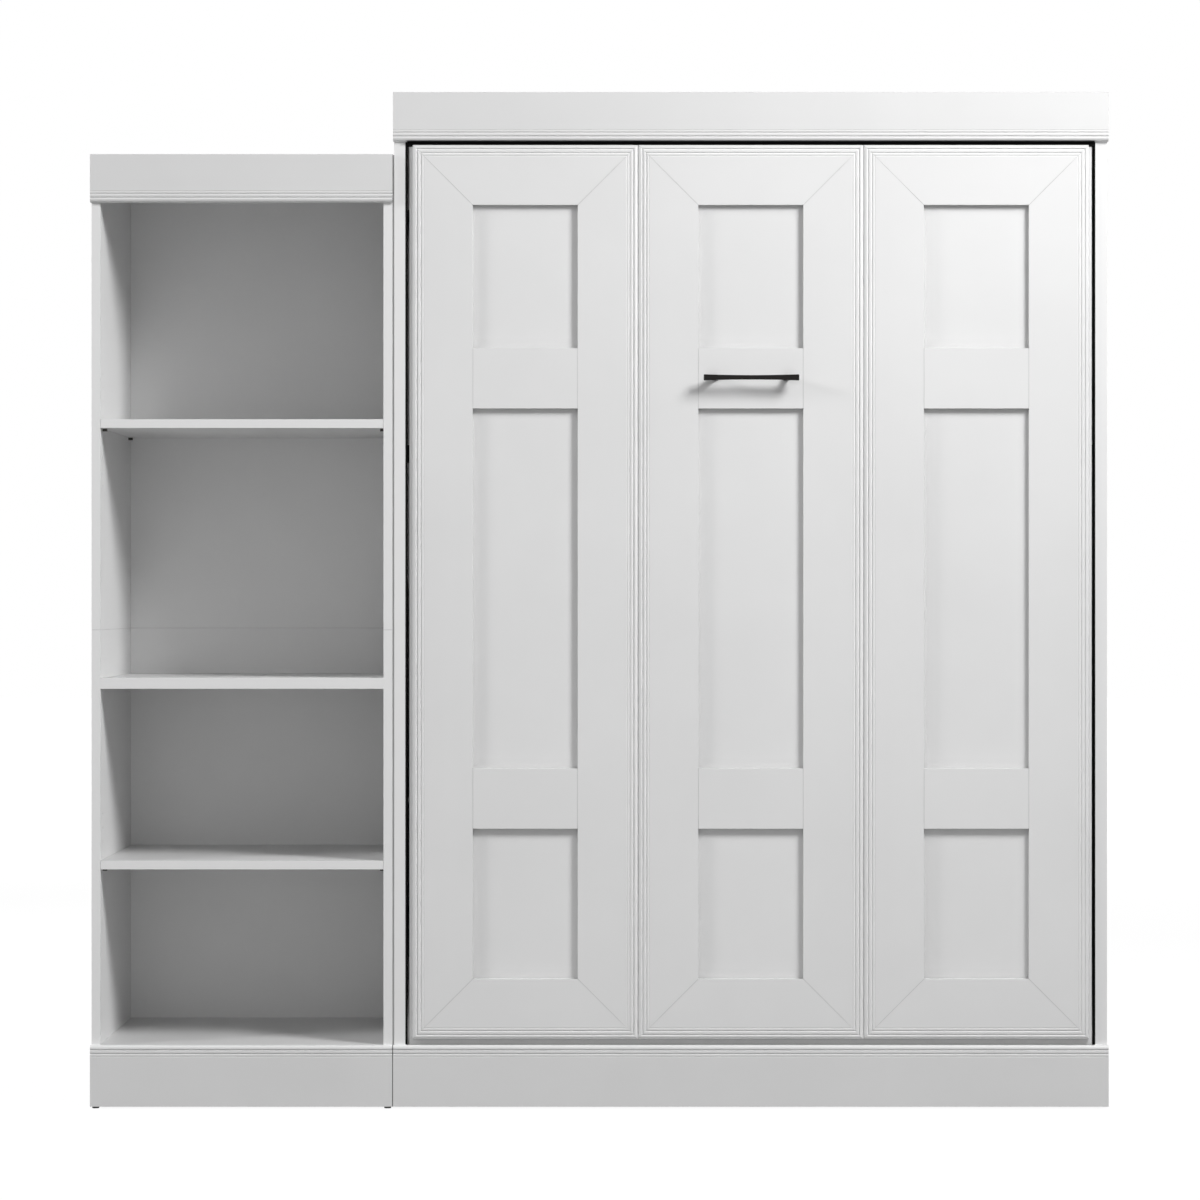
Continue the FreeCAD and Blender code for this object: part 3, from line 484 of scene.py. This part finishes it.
tape_left = side_high.x + tape_thickness
tape_right = far_low.x - tape_thickness
gap_shade_tapes = bmesh.new()
for low_x, high_x in ((side_high.x, tape_left), (tape_right, far_low.x)):
    strip(gap_shade_tapes, (low_x, side_low.y + tape_set_back, panel_low.z),
          (high_x, side_low.y + tape_depth, crown_low.z), tape_easing)
for low_x, high_x in ((side_high.x - wrap_left, tape_left), (tape_right, far_low.x + wrap_right)):
    strip(gap_shade_tapes, (low_x, side_low.y - wrap_front, kick_top + wrap_room),
          (high_x, side_low.y + wrap_back, crown_low.z - wrap_room), wrap_easing)
strip(gap_shade_tapes, (side_high.x + strip_room, crown_high.y, panel_high.z + above_panel),
      (far_low.x - strip_room, crown_high.y + strip_thickness, crown_low.z + strip_rise), strip_easing)
strip(gap_shade_tapes, (side_high.x + strip_room, crown_low.y + lining_set_back, crown_low.z - lining_thickness),
      (far_low.x - strip_room, crown_high.y, crown_low.z), lining_easing)
show("gap_shade_felts", gap_shade_tapes, gap_shade_felt, "cabinet")

# Joint strip: a grey foam strip pressed between the two cabinets, set back from their front edges.
# It closes the slit from the floor to the top of the bookcase.
foam, foam_shader = new_material("grey_foam", (0.62, 0.62, 0.62), 0.9)
foam_place = object_place(foam)
foam_cells = noise(foam, foam_place, 900.0, 3.0, 0.6)
feed(foam, foam_shader.inputs["Base Color"],
     blend_colours(foam, foam_cells, (0.57, 0.57, 0.57), (0.69, 0.69, 0.69)))
feed(foam, foam_shader.inputs["Normal"], bump(foam, foam_cells, 0.0003))
shelf_side_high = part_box("bookcase_side_right_upper")[1]
shelf_side_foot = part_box("bookcase_side_right_lower")[0].z
foam_front = side_low.y + 0.002
foam_depth = 0.012
foam_easing = 0.0004
foam_strip = bmesh.new()
strip(foam_strip, (shelf_side_high.x, foam_front, shelf_side_foot),
      (side_low.x, foam_front + foam_depth, shelf_side_high.z), foam_easing)
show("joint_strip", foam_strip, foam, "cabinet")

# Mattress: springs and foam in a knitted cover, quilted in diamonds on both faces. A piped seam joins
# each face to the border, and two rows of stitching hold the border.
bed_low, bed_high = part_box("mattress")
mattress_middle = (bed_low + bed_high) / 2
half_width, half_depth, half_length = (bed_high - bed_low) / 2
cells_across = 84
cells_along = 112
diamond = 14
panel_rise = 0.0095
side_rise = 0.005
cover_margin = 0.0005
corner_radius = 0.055
border_rows = 6
stitched_row = 3
piping_radius = 0.0035
merge_reach = 0.0001
flat_face = 0.7
panel_width = half_width - side_rise - cover_margin
panel_length = half_length - side_rise - cover_margin
panel_height = half_depth - panel_rise - cover_margin
cover = bmesh.new()
bmesh.ops.create_grid(cover, x_segments=cells_across, y_segments=cells_along, size=1.0)
sewn = cover.verts.layers.deform.verify()
for point in cover.verts:
    across = round((point.co.x + 1) / 2 * cells_across)
    along = round((point.co.y + 1) / 2 * cells_along)
    on_line = (across + along) % diamond == 0 or (across - along) % diamond == 0
    on_edge = across in (0, cells_across) or along in (0, cells_along)
    point[sewn][0] = 1.0 if on_line or on_edge else 0.0
    x, z = point.co.x * panel_width, point.co.y * panel_length
    past = Vector((max(abs(x) - panel_width + corner_radius, 0),
                   max(abs(z) - panel_length + corner_radius, 0)))
    if past.x > 0 and past.y > 0:
        pull = max(past) / past.length
        x = math.copysign(panel_width - corner_radius + past.x * pull, x)
        z = math.copysign(panel_length - corner_radius + past.y * pull, z)
    point.co = Vector((x, panel_height, z))
for row in range(1, border_rows + 1):
    rim = [edge for edge in cover.edges if edge.is_boundary]
    for point in bmesh.ops.extrude_edge_only(cover, edges=rim)["geom"]:
        if isinstance(point, bmesh.types.BMVert):
            point.co.y = panel_height * (1 - row / border_rows)
            point[sewn][0] = 1.0 if row == stitched_row else 0.0
bmesh.ops.mirror(cover, geom=cover.verts[:] + cover.edges[:] + cover.faces[:],
                 matrix=Matrix.Identity(4), merge_dist=merge_reach, axis="Y")
bmesh.ops.remove_doubles(cover, verts=cover.verts, dist=merge_reach)
bmesh.ops.recalc_face_normals(cover, faces=cover.faces)
cut = cover.loops.layers.uv.new("cut")
for face in cover.faces:
    for corner in face.loops:
        if abs(face.normal.y) > flat_face:
            corner[cut].uv = (corner.vert.co.x, corner.vert.co.z)
        elif abs(face.normal.x) > abs(face.normal.z):
            corner[cut].uv = (corner.vert.co.z, corner.vert.co.y)
        else:
            corner[cut].uv = (corner.vert.co.x, corner.vert.co.y)
    face.smooth = True
    face.material_index = 0 if abs(face.normal.y) > flat_face else 1
bmesh.ops.translate(cover, verts=cover.verts, vec=mattress_middle)
cover_data = bpy.data.meshes.new("mattress_cover")
cover.to_mesh(cover_data)
cover.free()
mattress_cover = place_in_scene("mattress_cover", cover_data)
mattress_cover.vertex_groups.new(name="sewn")


def fill_cover(piece, pressure, frames):
    # The filling pushes the cover out between its stitches, which stay where they are sewn.
    filling = piece.modifiers.new("filling", "CLOTH")
    filling.settings.quality = 4
    filling.settings.mass = 0.1
    filling.settings.tension_stiffness = 5
    filling.settings.compression_stiffness = 5
    filling.settings.shear_stiffness = 5
    filling.settings.bending_stiffness = 0.1
    filling.settings.vertex_group_mass = "sewn"
    filling.settings.use_pressure = True
    filling.settings.uniform_pressure_force = pressure
    filling.settings.effector_weights.gravity = 0
    filling.collision_settings.use_collision = False
    for step in range(1, frames + 1):
        bpy.context.scene.frame_set(step)
    shaped = piece.evaluated_get(bpy.context.evaluated_depsgraph_get()).to_mesh()
    for point, moved in zip(piece.data.vertices, [v.co.copy() for v in shaped.vertices]):
        shift = moved - point.co
        most = panel_rise if abs(shift.y) > max(abs(shift.x), abs(shift.z)) else side_rise
        point.co = point.co + shift * min(1.0, most / max(shift.length, 1e-9))
    piece.modifiers.remove(filling)
    bpy.context.scene.frame_set(1)


fill_cover(mattress_cover, pressure=18.0, frames=20)
finer = mattress_cover.modifiers.new("finer", "SUBSURF")
finer.levels = finer.render_levels = 1

# Cloth of the cover: a ribbed knit of pale yarn, and on the two faces the quilting thread, in long
# stitches along the sewn lines. The pattern follows the cut cloth, so it bends with the filling.
cell_width = 2 * panel_width / cells_across
cell_length = 2 * panel_length / cells_along
row_pitch = 0.0028
rib_pitch = 0.0032
stitch_pitch = 0.0042
stitch_share = 0.72
thread_half = 0.0006
crease_shade_reach = 0.006
valley_reach = 0.008


def knit(name, colour, shade, quilted):
    material, shader = new_material(name, colour, 0.88)
    shader.inputs["Sheen Weight"].default_value = 0.25
    shader.inputs["Sheen Roughness"].default_value = 0.5
    shader.inputs["Specular IOR Level"].default_value = 0.25
    place = object_place(material)
    on_cloth = add(material, "UVMap", {"uv_map": "cut"}).outputs[0]
    parts = add(material, "SeparateXYZ", Vector=on_cloth)
    cloth_x, cloth_y = parts.outputs["X"], parts.outputs["Y"]
    rows = calc(material, "SINE", calc(material, "MULTIPLY", cloth_y, 2 * math.pi / row_pitch))
    lean = calc(material, "MULTIPLY", rows, 0.9)
    ribs = calc(material, "MULTIPLY", cloth_x, 2 * math.pi / rib_pitch)
    ribs = calc(material, "SINE", calc(material, "ADD", ribs, lean))
    loops = spread(material, ribs, -1.0, 1.0)
    cloud = noise(material, place, 12.0, 4.0, 0.55)
    fuzz = noise(material, place, 1500.0, 3.0, 0.7)
    tone = blend_colours(material, spread(material, cloud, 0.35, 0.68), colour, shade)
    between = tuple(c * 0.9 for c in shade)
    yarn = blend_colours(material, calc(material, "MULTIPLY", loops, 0.35), between, tone)
    height = calc(material, "ADD", calc(material, "MULTIPLY", loops, 0.6),
                  calc(material, "MULTIPLY", fuzz, 0.4))
    relief = bump(material, height, 0.0005)
    if quilted:
        first = calc(material, "DIVIDE", calc(material, "ADD", cloth_x, panel_width), cell_width)
        second = calc(material, "DIVIDE", calc(material, "ADD", cloth_y, panel_length), cell_length)
        nearest = None
        for sign in ("ADD", "SUBTRACT"):
            line = calc(material, "PINGPONG", calc(material, sign, first, second), diamond / 2)
            away = calc(material, "MULTIPLY", line, cell_width * math.sqrt(0.5))
            nearest = away if nearest is None else calc(material, "MINIMUM", nearest, away)
        along = calc(material, "FRACT", calc(material, "MULTIPLY", cloth_x, 1 / stitch_pitch))
        stitch = calc(material, "LESS_THAN", along, stitch_share)
        on_thread = spread(material, nearest, thread_half * 2, thread_half)
        thread = calc(material, "MULTIPLY", on_thread, stitch)
        # The cloth near the sewn lines is painted darker, as painted shade in the quilting's creases.
        crease_shade = spread(material, nearest, crease_shade_reach, 0.0, 0.0, 0.22)
        yarn = blend_colours(material, crease_shade, yarn, tuple(c * 0.75 for c in shade))
        yarn = blend_colours(material, calc(material, "MULTIPLY", thread, 0.8), yarn, (0.9, 0.9, 0.88))
        valley = spread(material, nearest, 0.0, valley_reach)
        relief = bump(material, valley, 0.0015, relief)
    feed(material, shader.inputs["Base Color"], yarn)
    feed(material, shader.inputs["Normal"], relief)
    return material


cover_data.materials.append(knit("quilted_knit", (0.86, 0.85, 0.82), (0.80, 0.79, 0.755), True))
cover_data.materials.append(knit("border_knit", (0.74, 0.74, 0.73), (0.66, 0.66, 0.65), False))
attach(mattress_cover, "bed")
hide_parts("mattress")

# Piping: a cord in a folded strip of the border's cloth, sewn into the seam round each face of the
# mattress, so that it stands a little proud.
piping_cloth, piping_shader = new_material("piping_cloth", (0.5, 0.5, 0.49), 0.85)
piping_place = object_place(piping_cloth)
piping_weave = noise(piping_cloth, piping_place, 900.0, 3.0, 0.6)
feed(piping_cloth, piping_shader.inputs["Base Color"],
     blend_colours(piping_cloth, piping_weave, (0.42, 0.42, 0.41), (0.56, 0.56, 0.55)))
feed(piping_cloth, piping_shader.inputs["Normal"], bump(piping_cloth, piping_weave, 0.0004))


def piping(name, height):
    # The seam is a rectangle of edges with its corners rounded, and the cord is laid along it.
    line = bmesh.new()
    corners = bmesh.ops.create_grid(line, x_segments=1, y_segments=1, size=1.0)["verts"]
    for point in corners:
        point.co = Vector((point.co.x * panel_width, height, point.co.y * panel_length))
    bmesh.ops.delete(line, geom=list(line.faces), context="FACES_ONLY")
    bmesh.ops.bevel(line, geom=corners, offset=corner_radius, offset_type="OFFSET", affect="VERTICES",
                    segments=10, profile=0.5, material=-1)
    bmesh.ops.translate(line, verts=line.verts, vec=mattress_middle)
    data = bpy.data.meshes.new(name)
    line.to_mesh(data)
    line.free()
    path = place_in_scene(name, data)
    for other in bpy.context.selected_objects:
        other.select_set(False)
    bpy.context.view_layer.objects.active = path
    path.select_set(True)
    bpy.ops.object.convert(target="CURVE")
    path.data.bevel_depth = piping_radius
    path.data.bevel_resolution = 3
    bpy.ops.object.convert(target="MESH")
    path.select_set(False)
    for face in path.data.polygons:
        face.use_smooth = True
    path.data.materials.append(piping_cloth)
    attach(path, "bed")


piping("mattress_piping_front", -panel_height)
piping("mattress_piping_back", panel_height)

# Camera: straight in front, at the height and distance that the photograph's perspective gives. The
# frame's width is what the photograph takes in at the plane of the crown board.
door_plane = crown_low.y
frame_width = 2.7462
camera_distance = 7.276
camera_height = 1.1636
camera_aside = 0.0016
sensor_width = 36.0
view_camera = place_in_scene("camera", bpy.data.cameras.new("camera"))
view_camera.location = (camera_aside, door_plane - camera_distance, camera_height)
view_camera.rotation_euler = (math.pi / 2, 0, 0)
view_camera.data.sensor_width = sensor_width
view_camera.data.lens = sensor_width * camera_distance / frame_width
bpy.context.scene.camera = view_camera

# Floor and light of the studio: a pale floor under a white sky, one lamp at the upper right whose
# light falls off evenly, a weaker one high on the left, and two behind for the back and the right side.


def lamp(name, place, target, size, power):
    data = bpy.data.lights.new(name, "AREA")
    data.shape = "DISK"
    data.size = size
    data.energy = power
    made = place_in_scene(name, data)
    made.location = place
    made.rotation_euler = (Vector(target) - Vector(place)).to_track_quat("-Z", "Y").to_euler()
    return made


key_lamp = lamp("key_lamp", (2.24, door_plane - 1.7, 3.36), (-2.2, door_plane, 0.8), 1.2, 31.0)
key_lamp.data.use_nodes = True
key_tree = key_lamp.data.node_tree
even_fall = key_tree.nodes.new("ShaderNodeLightFalloff")
even_fall.inputs["Strength"].default_value = 1.0
key_tree.links.new(even_fall.outputs["Linear"], key_tree.nodes["Emission"].inputs["Strength"])
lamp("left_lamp", (-6.2, door_plane - 1.9, 3.7), (1.0, door_plane, 0.6), 1.4, 150.0)
lamp("back_lamp", (-3.0, 3.4, 2.4), (-0.2, 0.2, 1.2), 2.0, 85.0)
lamp("right_lamp", (5.5, 2.6, 2.2), (1.1, 0.0, 1.1), 2.0, 85.0)


def seen_share(owner):
    # One where the camera sees the surface, itself or in a reflection, and nothing where light is cast.
    path = add(owner, "LightPath").outputs
    seen = calc(owner, "MAXIMUM", path["Is Camera Ray"], path["Is Glossy Ray"])
    return calc(owner, "MAXIMUM", seen, path["Is Transmission Ray"])


floor_size = 30.0
glow_share = 0.7
floor_white, floor_shader = new_material("studio_floor", (0.3, 0.3, 0.3), 0.9)
floor_reach = add(floor_white, "VectorMath", {"operation": "LENGTH"},
                  Vector=add(floor_white, "TexCoord").outputs["Object"])
floor_glow = spread(floor_white, floor_reach.outputs["Value"], 4.0, 9.0, 1.3, 1.42)
glow = add(floor_white, "Emission", Color=(1, 1, 1, 1), Strength=floor_glow)
glow_seen = calc(floor_white, "MULTIPLY", seen_share(floor_white), glow_share)
floor_mix = add(floor_white, "MixShader", Fac=glow_seen)
floor_surface = floor_white.node_tree.nodes["Material Output"].inputs["Surface"]
feed(floor_white, floor_mix.inputs[1], floor_shader.outputs[0])
feed(floor_white, floor_mix.inputs[2], glow.outputs[0])
feed(floor_white, floor_surface, floor_mix.outputs[0])
floor_mesh = bmesh.new()
bmesh.ops.create_grid(floor_mesh, x_segments=1, y_segments=1, size=floor_size)
floor_data = bpy.data.meshes.new("floor")
floor_mesh.to_mesh(floor_data)
floor_mesh.free()
floor_data.materials.append(floor_white)
place_in_scene("floor", floor_data)

world = bpy.data.worlds.new("studio_sky")
bpy.context.scene.world = world
world.use_nodes = True
sky = world.node_tree.nodes["Background"]
sky_light = 0.265
feed(world, sky.inputs["Strength"], spread(world, seen_share(world), 0.0, 1.0, sky_light, 1.0))
feed(world, sky.inputs["Color"], (1, 1, 1, 1))

bpy.context.scene.view_settings.view_transform = "Standard"
